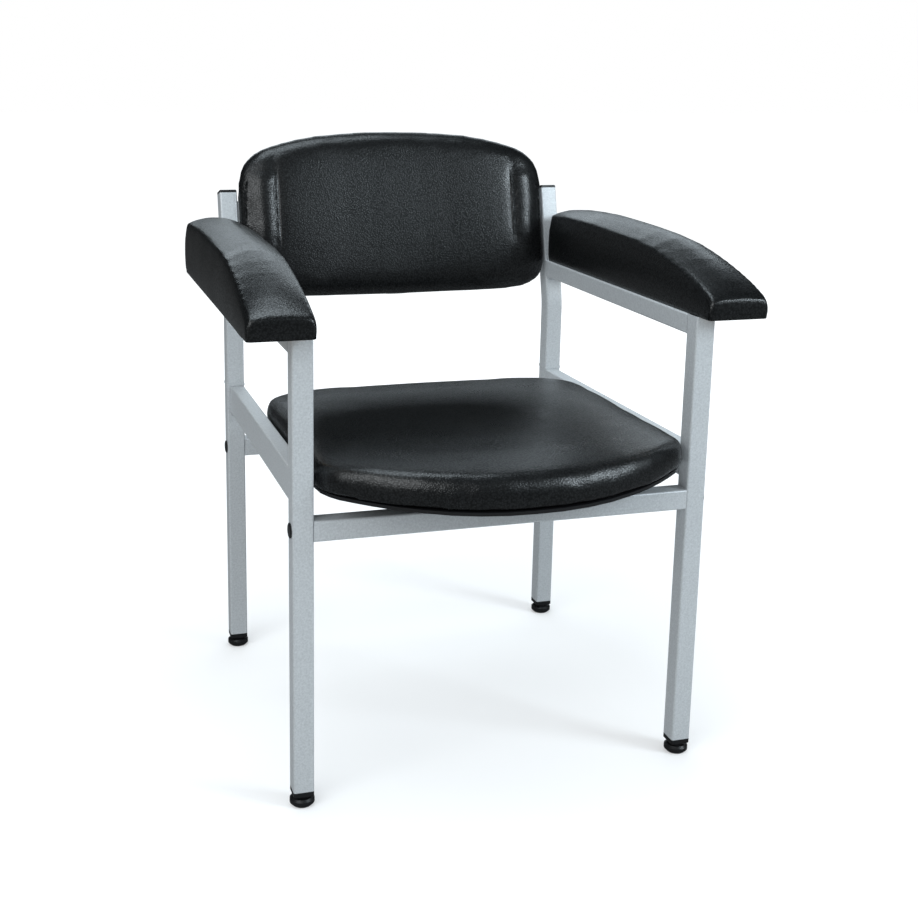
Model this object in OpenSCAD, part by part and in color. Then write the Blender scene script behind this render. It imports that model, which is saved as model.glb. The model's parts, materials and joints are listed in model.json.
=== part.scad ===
// Blood-drawing chair: welded square-tube frame with an upholstered seat, backrest and sloping arm pads.
// The chair faces -Y. Left and right are the sitter's own, so the left side is +X.

/* [Frame] */
// Width across the outsides of the legs
frame_w = 520; // [480:10:580]
// Depth from the front of the front legs to the back of the rear legs
frame_d = 490; // [460:10:530]
// Side of the square tube
tube = 25; // [22:1:28]
// Wall of the square tube
tube_wall = 1.5; // [1:0.25:2.5]
// Height of the arm rails' tops above the floor
arm_rail_z = 575; // [560:5:620]
// Height of the seat rails' tops where they meet the front legs
seat_rail_z = 410; // [400:5:430]
// Backward slope of the seat and its side rails in degrees
seat_tilt = 0.5; // [0.5:0.5:3]
// Height of a seat rail's section
rail_h = 40; // [34:1:44]
// Thickness of a seat rail's section
rail_w = 20; // [16:1:22]
// Height of the front cross rail's top
front_rail_z = 358; // [340:2:362]
// Height of the rear cross rail's top
rear_rail_z = 325; // [300:5:340]

/* [Uprights] */
// Height at which the uprights turn back
bend_z = 510; // [500:2:520]
// Backward lean of the uprights in degrees
lean = 14; // [10:1:18]
// Radius of the uprights' bend at the tube's middle
bend_r = 120; // [80:10:160]
// Height of the uprights' tops at the tube's middle
upright_z = 680; // [650:5:720]

/* [Seat] */
// How far the seat's front reaches past the front legs
seat_overhang = 95; // [80:1:105]
// Length of the seat cushion from front to back
seat_len = 467; // [440:5:480]
// Clear space between the seat cushion and each seat rail
seat_side_gap = 2; // [1:0.5:5]
// Depth of the cushion's lower edge below the seat rails' tops
seat_sink = 17; // [14:1:20]
// Height of the seat cushion at its edge
seat_edge_h = 33; // [28:1:38]
// Rise of the seat cushion's middle above its edge
seat_crown = 8; // [4:1:12]
// How far the seat's front edge curves down
seat_dip = 12; // [6:1:16]
// Thickness of the seat's plywood
seat_board_t = 12; // [9:1:14]
// Thickness of the moulded shell under the seat
seat_shell_t = 4; // [3:0.5:5]

/* [Backrest] */
// Height of the backrest along its slope
back_h = 243; // [230:1:270]
// Distance of the backrest's lower edge above the uprights' bend
back_low = 21; // [16:1:30]
// Clear space between the backrest and each upright
back_side_gap = 2; // [1.5:0.5:4]
// Radius of the backrest's curve round the sitter
back_curve_r = 1500; // [1200:50:2500]
// Thickness of the backrest's foam at its middle
back_foam = 34; // [26:1:40]
// Thickness of the backrest's plywood
back_board_t = 10; // [8:1:12]
// Thickness of the moulded shell behind the backrest
back_shell_t = 3; // [2:0.5:4]

/* [Arm pads] */
// Width of an arm pad
arm_pad_w = 82; // [70:1:100]
// How far an arm pad reaches past the front leg
arm_pad_overhang = 27; // [15:1:40]
// Height of an arm pad at its front
arm_pad_front_h = 27; // [24:1:34]
// Height of an arm pad at its highest
arm_pad_crest_h = 86; // [66:1:94]
// Thickness of an arm pad's plywood
arm_board_t = 12; // [9:1:14]

/* [Feet] */
// Radius of a foot pad
foot_r = 15; // [13:0.5:18]
// Height of a foot pad
foot_h = 10.5; // [9:0.5:14]
// Gap between a foot pad and the collar above it
foot_gap = 3; // [2:0.5:5]
// Height of the collar under a leg
collar_h = 7; // [5:0.5:10]
// Radius of a foot's threaded stud
stud_r = 4; // [3:0.5:5]

/* [Hidden] */
$fn = 48;

// Small sizes of the frame
bend_join = 0.1;
tube_corner = 2.5;
fit = 0.2;
soft_gap = 0.25;
thread_fit = 0.05;
over = 10;
bead = 4;
bead_crown = 0.8;
bead_bulge_share = 0.4;
bead_crown_h = 4;
bead_ease = 1;

// Cross rail bolts, their caps and the blocks that they screw into
bolt_r = 4;
bolt_hole_r = 4.25;
bolt_head_r = 8;
bolt_head_h = 1.2;
bolt_reach = 14;
block_l = 18;
bolt_cap_r = 9;
bolt_cap_h = 2.2;
bolt_cap_edge = 0.8;

// Plugs in the uprights' tops
cap_h = 4;
cap_ease = 1;
plug_l = 16;

// Lugs, screws and tee nuts
lug_t = 3;
lug_w = 30;
lug_reach = 58;
lug_drop = 14;
lug_screw_x = 41;
lug_front_in = 60;
lug_rear_in = 100;
screw_r = 3;
screw_hole_r = 3.3;
access_hole_r = 7;
screw_head_r = 6;
screw_head_h = 3.5;
tee_r = 4.2;
tee_flange_r = 7;
tee_flange_t = 1.2;

// Backrest brackets and their screws
bracket_t = 3;
bracket_h = 90;
bracket_low = 52;
bracket_reach = 42;
bracket_edge = 2;
back_rim_y = -9;
shell_lip = 3;
shell_inset = 2;
board_inset = 8;
wood_screw_r = 2.5;
wood_screw_hole_r = 2.75;
wood_screw_head_r = 5;
wood_screw_head_h = 2.5;
screw_spread_share = 0.3;
bracket_screw_share = 0.6;
wood_screw_short = 2;
wood_hole_short = 1;

// Foot inserts, nuts and studs
insert_l = 30;
nut_af = 13;
nut_h = 6.5;
nut_lift = 4;
stud_l = 44;
insert_fit = 0.1;
socket_r = 7;
socket_h = 3;
socket_floor = 3;
spanner_af = 17;
spanner_h = 1.6;
foot_sole_r = 11.5;
foot_chamfer = 3.5;
foot_top_chamfer = 2.5;
collar_chamfer = 1.2;

// Cushion sizes
round_steps = 5;
seat_round = 16;
seat_tuck = 4;
seat_waist_share = 0.35;
seat_flat_from = 30;
seat_board_front = 22;
shell_row_shares = [0, 0.15, 0.3, 0.5, 0.75, 1];
seat_top_dip_share = 0.35;
back_round = 24;
back_tuck = 3;
back_waist_share = 0.3;
crease_share = 0.77;
crease_width_share = 0.018;
crease_depth = 2.5;
arm_round = 5;
arm_tuck = 2;
arm_waist_share = 0.35;
arm_crown = 13;
arm_end_round = 3;
arm_rear_gap = 4;
arm_board_margin = 5;

// Where the seat's front and back edges lie, as shares of the half width and of the length
seat_front_shares = [
  [0, 0], [0.14, 0.002], [0.28, 0.011], [0.42, 0.028], [0.55, 0.052], [0.67, 0.08], [0.77, 0.111],
  [0.85, 0.14], [0.91, 0.164], [0.95, 0.19], [0.98, 0.22], [1, 0.29]
];
seat_rear_shares = [
  [0, 1], [0.5, 0.999], [0.7, 0.993], [0.82, 0.979], [0.9, 0.955], [0.95, 0.925],
  [0.985, 0.876], [1, 0.79]
];
seat_column_shares = [0, 0.14, 0.28, 0.42, 0.55, 0.67, 0.77, 0.85, 0.91, 0.95, 0.98, 1];
// How much of its height the seat keeps towards its sides
seat_top_shares = [[0, 1], [0.5, 0.99], [0.77, 0.95], [0.91, 0.87], [0.95, 0.8], [0.98, 0.66], [1, 0.36]];

// Where the backrest's lower and upper edges lie, as shares of the half width and of the height
back_bottom_shares = [
  [0, 0], [0.6, 0.004], [0.8, 0.018], [0.89, 0.04], [0.95, 0.08], [0.985, 0.14], [1, 0.22]
];
back_top_shares = [
  [0, 1], [0.2, 0.997], [0.4, 0.984], [0.55, 0.962], [0.68, 0.933], [0.79, 0.9], [0.86, 0.871],
  [0.91, 0.838], [0.95, 0.798], [0.985, 0.73], [1, 0.62]
];
back_column_shares = [0, 0.16, 0.32, 0.48, 0.62, 0.75, 0.77, 0.79, 0.86, 0.91, 0.95, 0.98, 1];
// How much of its depth the backrest keeps towards its sides, and at its lower and upper edges
back_depth_shares = [
  [0, 1], [0.5, 0.98], [0.7, 0.93], [0.86, 0.78], [0.95, 0.56], [0.985, 0.38], [1, 0.2]
];
back_end_share = 0.86;

// Height of an arm pad along its length, as shares of its length from the front and of its highest
arm_height_shares = [
  [0, 0], [0.045, 0.2], [0.1, 0.38], [0.175, 0.58], [0.24, 0.72], [0.3, 0.84], [0.42, 0.95],
  [0.55, 0.985], [0.7, 1], [0.85, 0.965], [1, 0.85]
];
// How much of its crown an arm pad has along its length
arm_crown_shares = [[0, 0.2], [0.2, 0.62], [0.45, 1], [0.75, 1], [1, 0.7]];
arm_row_shares = [0.03, 0.07, 0.12, 0.18, 0.25, 0.32, 0.4, 0.5, 0.6, 0.7, 0.8, 0.9, 0.97];
arm_screw_shares = [0.2, 0.8];

// Colours
silver = [0.74, 0.76, 0.78];
black = [0.08, 0.09, 0.09];
plastic = [0.05, 0.05, 0.05];
ply = [0.72, 0.55, 0.36];
zinc = [0.7, 0.7, 0.68];

// Places that follow from the sizes
half_w = frame_w / 2;
inner_x = half_w - tube;
leg_x = half_w - tube / 2;
rear_y = frame_d - tube;
tube_end_z = foot_h + foot_gap + collar_h;
seat_rail_len = rear_y - tube;
rear_leg_z = seat_rail_z - seat_rail_len * tan(seat_tilt) + bead_crown_h / 2 + fit;
bend_y = rear_y + tube / 2;
bend_cut = bend_r * tan(lean / 2);
upright_s = (upright_z - bend_z) / cos(lean);
seat_front = -seat_overhang - tube;
seat_hw = inner_x - seat_side_gap;
seat_shell_z = -seat_sink - seat_shell_t;
back_hw = inner_x - back_side_gap;
back_axis_y = back_rim_y - sqrt(back_curve_r * back_curve_r - back_hw * back_hw);
back_shell_in = back_board_t + soft_gap;
back_shell_out = back_shell_in + back_shell_t;
bracket_in = back_shell_out + fit / 2;
bracket_out = bracket_in + bracket_t;
arm_front = -arm_pad_overhang;
arm_rear = rear_y + (arm_rail_z - bend_z) * tan(lean) - arm_rear_gap;
arm_len = arm_rear - arm_front;
lug_ys = [seat_board_front + lug_front_in, seat_front + seat_len - lug_rear_in];

// Furthest points of the chair to the front and to the back, which centre it on the origin
seat_waist_z = mix(seat_low(seat_front), seat_high(0, seat_front), seat_waist_share);
front_most = tube + seat_front * cos(seat_tilt) + seat_waist_z * sin(seat_tilt);
back_top_s = back_low + back_h - shell_inset;
rear_most = bend_y + (back_axis_y + back_curve_r + back_shell_out) * cos(lean) + back_top_s * sin(lean);
middle_y = (front_most + rear_most) / 2;

function mix(a, b, share) = a + (b - a) * share;

// Frames that the pieces are drawn in
module in_frame() {
  translate([0, -middle_y, 0]) children();
}

module in_seat() {
  in_frame() translate([0, tube, seat_rail_z]) rotate([-seat_tilt, 0, 0]) children();
}

module in_back() {
  in_frame() translate([0, bend_y, bend_z]) rotate([-lean, 0, 0]) children();
}

module on_back_curve(x) {
  translate([0, back_axis_y, 0])
    rotate([0, 0, -asin(x / back_curve_r)])
      translate([0, back_curve_r, 0])
        children();
}

// Square and oblong tube
module rounded_section(w, d, r) {
  union() {
    translate([-w / 2 + r, -d / 2]) square([w - 2 * r, d]);
    translate([-w / 2, -d / 2 + r]) square([w, d - 2 * r]);
    for (x = [-1, 1], y = [-1, 1])
      translate([x * (w / 2 - r), y * (d / 2 - r)]) circle(r = r);
  }
}

module tube_section(w, d) {
  difference() {
    rounded_section(w, d, tube_corner);
    rounded_section(w - 2 * tube_wall, d - 2 * tube_wall, tube_corner - tube_wall / 2);
  }
}

module tube_along_z(w, d, len) {
  linear_extrude(height = len) tube_section(w, d);
}

module tube_along_y(w, h, len) {
  rotate([-90, 0, 0]) linear_extrude(height = len) tube_section(w, h);
}

module tube_along_x(d, h, len) {
  rotate([90, 0, 90]) linear_extrude(height = len) tube_section(d, h);
}

module bore_along_x(r, len) {
  rotate([0, 90, 0]) cylinder(r = r, h = len);
}

// Legs, each drilled across for its cross rail's bolt
module leg(side, y, rail_z, top_z) {
  in_frame() difference() {
    translate([side * leg_x, y + tube / 2, tube_end_z])
      tube_along_z(tube, tube, top_z - tube_end_z);
    translate([side * leg_x - tube, y + tube / 2, rail_z - tube / 2])
      bore_along_x(bolt_hole_r, 2 * tube);
  }
}

module front_leg_right() { color(silver) leg(-1, 0, front_rail_z, arm_rail_z); }
module front_leg_left() { color(silver) leg(1, 0, front_rail_z, arm_rail_z); }
module rear_leg_right() { color(silver) leg(-1, rear_y, rear_rail_z, rear_leg_z); }
module rear_leg_left() { color(silver) leg(1, rear_y, rear_rail_z, rear_leg_z); }

// Uprights: straight, one bend, then straight and leaning back
module bent_bar(side, w, r, extra) {
  low_z = rear_leg_z - extra;
  in_frame() translate([side * leg_x, bend_y, 0]) {
    translate([0, 0, low_z])
      linear_extrude(height = bend_z - bend_cut + bend_join - low_z) rounded_section(w, w, r, $fn = 12);
    translate([0, bend_r, bend_z - bend_cut])
      rotate([90, 0, -90])
        rotate_extrude(angle = lean)
          translate([bend_r, 0]) rounded_section(w, w, r, $fn = 12);
    translate([0, 0, bend_z])
      rotate([-lean, 0, 0])
        translate([0, 0, bend_cut - bend_join])
          linear_extrude(height = upright_s - bend_cut + bend_join + extra)
            rounded_section(w, w, r, $fn = 12);
  }
}

module upright(side) {
  difference() {
    bent_bar(side, tube, tube_corner, 0);
    bent_bar(side, tube - 2 * tube_wall, tube_corner - tube_wall / 2, over);
  }
}

module upright_right() { color(silver) upright(-1); }
module upright_left() { color(silver) upright(1); }

module upright_cap(side) {
  plug = tube - 2 * tube_wall - fit;
  in_back() translate([side * leg_x, 0, upright_s]) {
    translate([0, 0, -plug_l])
      linear_extrude(height = plug_l) rounded_section(plug, plug, tube_corner - tube_wall / 2);
    linear_extrude(height = cap_h - cap_ease) rounded_section(tube, tube, tube_corner);
    translate([0, 0, cap_h - cap_ease])
      linear_extrude(height = cap_ease)
        rounded_section(tube - 2 * cap_ease, tube - 2 * cap_ease, tube_corner - cap_ease);
  }
}

module upright_cap_right() { color(plastic) upright_cap(-1); }
module upright_cap_left() { color(plastic) upright_cap(1); }

// Sloping seat rails, cut upright at both ends where they meet the legs
module seat_rail(side) {
  intersection() {
    in_seat() translate([side * (inner_x + rail_w / 2), -over, -rail_h / 2])
      tube_along_y(rail_w, rail_h, seat_rail_len + 2 * over);
    in_frame() translate([side * (inner_x + rail_w / 2) - tube, tube, seat_rail_z - 2 * rail_h])
      cube([2 * tube, seat_rail_len, 3 * rail_h]);
  }
}

module seat_rail_right() { color(silver) seat_rail(-1); }
module seat_rail_left() { color(silver) seat_rail(1); }

// Arm rails, cut to the uprights' slope, with a hole above for each pad screw and one below for its head
module arm_rail(side) {
  difference() {
    in_frame() translate([side * leg_x, tube, arm_rail_z - tube / 2])
      tube_along_y(tube, tube, frame_d);
    in_back() translate([side * leg_x - tube, -tube / 2, -bend_z])
      cube([2 * tube, frame_d + bend_z, 2 * bend_z]);
    arm_screw_places(side) {
      translate([0, 0, -tube / 2]) cylinder(r = screw_hole_r, h = tube / 2 + over);
      translate([0, 0, -tube - over]) cylinder(r = access_hole_r, h = tube / 2 + over);
    }
  }
}

module arm_screw_places(side) {
  in_frame() for (share = arm_screw_shares)
    translate([side * leg_x, mix(2 * tube, rear_y, share), arm_rail_z]) children();
}

module arm_rail_right() { color(silver) arm_rail(-1); }
module arm_rail_left() { color(silver) arm_rail(1); }

// Cross rails, with a threaded block in each end
module front_cross_rail() {
  color(silver) in_frame() translate([-inner_x, tube / 2, front_rail_z - tube / 2])
    tube_along_x(tube, tube, 2 * inner_x);
}

module rear_cross_rail() {
  color(silver) in_frame() translate([-inner_x, bend_y, rear_rail_z - tube / 2])
    tube_along_x(tube, tube, 2 * inner_x);
}

// The four bolted joints, each seen from its leg's outer face with +Z pointing into the chair
module bolted_joints() {
  in_frame() for (side = [-1, 1], place = [[tube / 2, front_rail_z], [bend_y, rear_rail_z]])
    translate([side * half_w, place[0], place[1] - tube / 2]) rotate([0, -side * 90, 0]) children();
}

module rail_end_blocks() {
  block = tube - 2 * tube_wall - fit;
  color(zinc) bolted_joints() translate([0, 0, tube]) difference() {
    linear_extrude(height = block_l) rounded_section(block, block, tube_corner - tube_wall / 2);
    translate([0, 0, -over]) cylinder(r = bolt_r, h = block_l + 2 * over);
  }
}

module rail_bolts() {
  color(zinc) bolted_joints() {
    translate([0, 0, -bolt_head_h]) cylinder(r = bolt_head_r, h = bolt_head_h);
    cylinder(r = bolt_r, h = tube + bolt_reach);
  }
}

module bolt_caps() {
  color(plastic) bolted_joints() rotate([180, 0, 0]) difference() {
    union() {
      cylinder(r = bolt_cap_r, h = bolt_cap_h - bolt_cap_edge);
      translate([0, 0, bolt_cap_h - bolt_cap_edge])
        cylinder(r1 = bolt_cap_r, r2 = bolt_cap_r - 2 * bolt_cap_edge, h = bolt_cap_edge);
    }
    translate([0, 0, -over]) cylinder(r = bolt_head_r, h = over + bolt_head_h);
  }
}

// Weld beads: a crowned ring at each upright's foot and a fillet where a rail meets a leg
module bead_fillet(side, y, z, along, down, len) {
  in_frame() translate([side * leg_x - len / 2, y, z])
    rotate([90, 0, 90])
      linear_extrude(height = len)
        polygon([[0, 0], along * bead, (along + down) * bead * bead_bulge_share, down * bead]);
}

module bead_ring(side) {
  in_frame() translate([side * leg_x, bend_y, rear_leg_z - bead_crown_h / 2]) difference() {
    union() {
      linear_extrude(height = bead_crown_h)
        rounded_section(tube + bead_crown, tube + bead_crown, tube_corner);
      translate([0, 0, bead_ease])
        linear_extrude(height = bead_crown_h - 2 * bead_ease)
          rounded_section(tube + 2 * bead_crown, tube + 2 * bead_crown, tube_corner + bead_crown);
    }
    translate([0, 0, -over])
      linear_extrude(height = bead_crown_h + 2 * over) rounded_section(tube, tube, tube_corner);
  }
}

module weld_beads() {
  slope = [cos(seat_tilt), -sin(seat_tilt)];
  rail_foot = rail_h / cos(seat_tilt);
  seat_rail_end_z = seat_rail_z - seat_rail_len * tan(seat_tilt);
  flat = tube - 2 * tube_corner;
  color(silver) for (side = [-1, 1]) {
    bead_ring(side);
    bead_fillet(side, tube, seat_rail_z, slope, [0, 1], rail_w - 2 * tube_corner);
    bead_fillet(side, tube, seat_rail_z - rail_foot, slope, [0, -1], rail_w - 2 * tube_corner);
    bead_fillet(side, rear_y, seat_rail_end_z - rail_foot, -slope, [0, -1], rail_w - 2 * tube_corner);
    bead_fillet(side, tube, arm_rail_z - tube, [1, 0], [0, -1], flat);
    bead_fillet(side, arm_rail_end_y(), arm_rail_z - tube, [-1, 0], [-sin(lean), -cos(lean)], flat);
  }
}

// Where the underside of an arm rail meets the upright's sloping front
function arm_rail_end_y() = bend_y - tube / 2 / cos(lean) + (arm_rail_z - tube - bend_z) * tan(lean);

// Seat: lugs on the rails carry the shell and the board, and screws pull the board down from below
module seat_screw_places() {
  for (side = [-1, 1], y = lug_ys)
    translate([side * (inner_x - lug_screw_x), y, 0]) children();
}

module seat_lugs() {
  color(silver) in_seat() for (side = [-1, 1], y = lug_ys) difference() {
    translate([side < 0 ? -inner_x : inner_x - lug_reach, y - lug_w / 2, seat_shell_z - lug_t]) union() {
      cube([lug_reach, lug_w, lug_t]);
      translate([side < 0 ? 0 : lug_reach - lug_t, 0, -lug_drop]) cube([lug_t, lug_w, lug_drop]);
    }
    translate([side * (inner_x - lug_screw_x), y, seat_shell_z - lug_t - over])
      cylinder(r = screw_hole_r, h = lug_t + 2 * over);
  }
}

module seat_shell() {
  ys = concat([for (share = shell_row_shares) mix(seat_front, seat_flat_from, share)],
    [seat_front + seat_len]);
  upper = [for (y = ys) [y, seat_low(y) - soft_gap]];
  lower = [for (i = [len(ys) - 1:-1:0]) [ys[i], seat_low(ys[i]) - soft_gap - seat_shell_t]];
  color(plastic) in_seat() difference() {
    intersection() {
      translate([-seat_hw, 0, 0]) rotate([90, 0, 90])
        linear_extrude(height = 2 * seat_hw) polygon(concat(upper, lower));
      translate([0, 0, -seat_len]) linear_extrude(height = 2 * seat_len)
        polygon(seat_outline(shell_lip));
    }
    seat_screw_places() translate([0, 0, -seat_len]) cylinder(r = screw_hole_r, h = seat_len);
  }
}

module seat_board() {
  color(ply) in_seat() difference() {
    translate([0, 0, -seat_sink]) linear_extrude(height = seat_board_t)
      intersection() {
        polygon(seat_outline(board_inset + seat_round));
        translate([-seat_hw, seat_board_front]) square([2 * seat_hw, seat_len]);
      }
    seat_screw_places() {
      translate([0, 0, -seat_len]) cylinder(r = tee_r, h = seat_len);
      translate([0, 0, -seat_sink + seat_board_t - tee_flange_t]) cylinder(r = tee_flange_r, h = over);
    }
  }
}

module tee_nut(len) {
  difference() {
    union() {
      translate([0, 0, -len]) cylinder(r = tee_r, h = len);
      translate([0, 0, -tee_flange_t]) cylinder(r = tee_flange_r, h = tee_flange_t);
    }
    translate([0, 0, -len - over]) cylinder(r = screw_r, h = len + 2 * over);
  }
}

module seat_tee_nuts() {
  color(zinc) in_seat() seat_screw_places()
    translate([0, 0, seat_board_t - seat_sink]) tee_nut(seat_board_t - 2 * tee_flange_t);
}

module pan_screw(len) {
  translate([0, 0, -screw_head_h]) cylinder(r = screw_head_r, h = screw_head_h);
  cylinder(r = screw_r, h = len);
}

module seat_screws() {
  color(zinc) in_seat() seat_screw_places() translate([0, 0, seat_shell_z - lug_t])
    pan_screw(lug_t + seat_shell_t + seat_board_t - tee_flange_t);
}

// Edge of the seat seen from above, drawn in by an inset
function seat_outline(inset) = let (
    hw = seat_hw - inset,
    ys = [for (u = seat_column_shares) [u * hw,
      seat_front + seat_len * lookup(u, seat_front_shares) + inset,
      seat_front + seat_len * lookup(u, seat_rear_shares) - inset]],
    last = len(ys) - 1
  ) concat(
    [for (i = [0:last]) [ys[i][0], ys[i][1]]],
    [for (i = [last:-1:0]) [ys[i][0], ys[i][2]]],
    [for (i = [1:last]) [-ys[i][0], ys[i][2]]],
    [for (i = [last:-1:1]) [-ys[i][0], ys[i][1]]]
  );

// Curve of the seat's front edge, from none at seat_flat_from to one at the very front
function dip_share(y) =
  y > seat_flat_from ? 0 : pow((seat_flat_from - y) / (seat_flat_from - seat_front), 2);
function seat_low(y) = soft_gap - seat_sink - seat_dip * dip_share(y);
function seat_high(u, y) = let (
    long = (y - seat_front) / seat_len,
    bulge = 1 - pow(2 * long - 1, 4)
  ) (seat_edge_h + seat_crown * bulge) * lookup(u, seat_top_shares) - seat_sink
    - seat_dip * seat_top_dip_share * dip_share(y);

// Closed section of a cushion between two ends, with rounded edges above and tucked edges below
function cushion_section(a0, a1, low, high, waist, round_r, tuck, top_steps, low_steps) = let (
    span = a1 - a0,
    r = min(round_r, span / 3),
    k = min(tuck, span / 3),
    quarter = [for (i = [0:round_steps]) 90 * i / round_steps],
    mid = function(a) mix(low(a), high(a), waist)
  ) concat(
    [for (q = quarter) let (a = a0 + r * (1 - cos(q))) [a, mix(mid(a), high(a), sin(q))]],
    [for (i = [1:top_steps]) let (a = mix(a0 + r, a1 - r, i / (top_steps + 1))) [a, high(a)]],
    [for (i = [round_steps:-1:0]) let (q = quarter[i], a = a1 - r * (1 - cos(q)))
      [a, mix(mid(a), high(a), sin(q))]],
    [for (q = [30, 60, 90]) let (a = a1 - k * (1 - cos(q))) [a, mix(mid(a), low(a), sin(q))]],
    [for (i = [1:low_steps]) let (a = mix(a1 - k, a0 + k, i / (low_steps + 1))) [a, low(a)]],
    [for (q = [90, 60, 30]) let (a = a0 + k * (1 - cos(q))) [a, mix(mid(a), low(a), sin(q))]]
  );

// Closed skin over a row of sections that all have as many points
module lofted(sections) {
  rows = len(sections);
  count = len(sections[0]);
  middle = function(s) [for (k = [0:2]) ([for (p = s) 1] * [for (p = s) p[k]]) / count];
  points = concat([for (s = sections) each s], [middle(sections[0])], [middle(sections[rows - 1])]);
  first = rows * count;
  faces = concat(
    [for (r = [0:rows - 2], i = [0:count - 1]) let (j = (i + 1) % count) each [
      [r * count + i, (r + 1) * count + i, (r + 1) * count + j],
      [r * count + i, (r + 1) * count + j, r * count + j]
    ]],
    [for (i = [0:count - 1]) let (j = (i + 1) % count) [first, i, j]],
    [for (i = [0:count - 1]) let (j = (i + 1) % count)
      [first + 1, (rows - 1) * count + j, (rows - 1) * count + i]]
  );
  polyhedron(points = points, faces = faces, convexity = 6);
}

function both_sides(shares) = concat([for (i = [len(shares) - 1:-1:1]) -shares[i]], shares);

module seat_cushion() {
  sections = [for (u = both_sides(seat_column_shares)) let (
      a = abs(u),
      front = seat_front + seat_len * lookup(a, seat_front_shares),
      rear = seat_front + seat_len * lookup(a, seat_rear_shares),
      edge = cushion_section(front, rear, function(y) seat_low(y), function(y) seat_high(a, y),
        seat_waist_share, seat_round, seat_tuck, 6, 14)
    ) [for (p = edge) [u * seat_hw, p[0], p[1]]]];
  color(black) in_seat() difference() {
    lofted(sections);
    translate([0, 0, -seat_sink]) linear_extrude(height = seat_board_t)
      intersection() {
        polygon(seat_outline(board_inset + seat_round - soft_gap));
        translate([-seat_hw, seat_board_front - soft_gap]) square([2 * seat_hw, seat_len]);
      }
  }
}

// Backrest: a curved board in a moulded shell, screwed from behind to brackets on the uprights
function back_outline(inset) = let (
    hw = back_hw - inset,
    ends = [for (u = back_column_shares) [u * hw,
      back_low + back_h * lookup(u, back_bottom_shares) + inset,
      back_low + back_h * lookup(u, back_top_shares) - inset]],
    last = len(ends) - 1
  ) concat(
    [for (i = [0:last]) [ends[i][0], ends[i][1]]],
    [for (i = [last:-1:0]) [ends[i][0], ends[i][2]]],
    [for (i = [1:last]) [-ends[i][0], ends[i][2]]],
    [for (i = [last:-1:1]) [-ends[i][0], ends[i][1]]]
  );

// A slice of the backrest's curve between two depths behind its front face
module curved_slab(from, to, x0, x1, s0, s1) {
  intersection() {
    translate([0, back_axis_y, s0]) difference() {
      cylinder(r = back_curve_r + to, h = s1 - s0, $fn = 360);
      translate([0, 0, -over]) cylinder(r = back_curve_r + from, h = s1 - s0 + 2 * over, $fn = 360);
    }
    translate([x0, -frame_d, s0 - over]) cube([x1 - x0, 2 * frame_d, s1 - s0 + 2 * over]);
  }
}

module back_plate(from, to, inset) {
  intersection() {
    curved_slab(from, to, -back_hw, back_hw, back_low - over, back_low + back_h + over);
    translate([0, frame_d, 0]) rotate([90, 0, 0])
      linear_extrude(height = 2 * frame_d) polygon(back_outline(inset));
  }
}

module back_screw_places() {
  for (side = [-1, 1], end = [-1, 1])
    translate([0, 0, back_low + bracket_low + bracket_h * (1 / 2 + end * screw_spread_share)])
      on_back_curve(side * (inner_x - bracket_reach * bracket_screw_share))
        rotate([90, 0, 0]) children();
}

module back_shell() {
  color(plastic) in_back() difference() {
    union() {
      back_plate(back_shell_in, back_shell_out, shell_inset);
      difference() {
        back_plate(0, back_shell_in, shell_inset);
        back_plate(-over, back_shell_in + over, shell_inset + shell_lip);
      }
    }
    back_screw_places() translate([0, 0, -bracket_out - over])
      cylinder(r = wood_screw_hole_r, h = bracket_out + over);
  }
}

module back_board() {
  color(ply) in_back() difference() {
    back_plate(0, back_board_t, board_inset);
    back_screw_places() translate([0, 0, -back_board_t - over])
      cylinder(r = wood_screw_r, h = back_board_t + over - wood_hole_short);
  }
}

module back_bracket(side) {
  low = back_low + bracket_low;
  outer = side < 0 ? -inner_x : inner_x - bracket_reach;
  wall = side < 0 ? -inner_x : inner_x - bracket_t;
  color(silver) in_back() difference() {
    union() {
      curved_slab(bracket_in, bracket_out, outer, outer + bracket_reach, low, low + bracket_h);
      intersection() {
        translate([wall, back_rim_y + bracket_edge, low]) cube([bracket_t, tube, bracket_h]);
        curved_slab(-tube, bracket_out, -half_w, half_w, low, low + bracket_h);
      }
    }
    back_screw_places() translate([0, 0, -bracket_out - over])
      cylinder(r = wood_screw_hole_r, h = bracket_out + over);
  }
}

module back_bracket_right() { back_bracket(-1); }
module back_bracket_left() { back_bracket(1); }

module back_screws() {
  color(zinc) in_back() back_screw_places() {
    translate([0, 0, -bracket_out - wood_screw_head_h])
      cylinder(r = wood_screw_head_r, h = wood_screw_head_h);
    translate([0, 0, -bracket_out]) cylinder(r = wood_screw_r, h = bracket_out - wood_screw_short);
  }
}

function back_curve_y(x) = back_axis_y + sqrt(back_curve_r * back_curve_r - x * x);
function crease(a) = crease_depth * max(0, 1 - abs(a - crease_share) / crease_width_share);

module back_cushion() {
  sections = [for (u = both_sides(back_column_shares)) let (
      a = abs(u),
      x = u * back_hw,
      bottom = back_low + back_h * lookup(a, back_bottom_shares),
      top = back_low + back_h * lookup(a, back_top_shares),
      depth = back_foam * lookup(a, back_depth_shares) - crease(a),
      bulge = function(s) depth * mix(1, back_end_share, pow(2 * (s - back_low) / back_h - 1, 2)),
      edge = cushion_section(bottom, top, function(s) soft_gap, bulge,
        back_waist_share, back_round, back_tuck, 6, 4)
    ) [for (p = edge) [x, back_curve_y(x) - p[1], p[0]]]];
  color(black) in_back() lofted(sections);
}

// Arm pads
function arm_height(share) = mix(arm_pad_front_h, arm_pad_crest_h, lookup(share, arm_height_shares));

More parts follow.
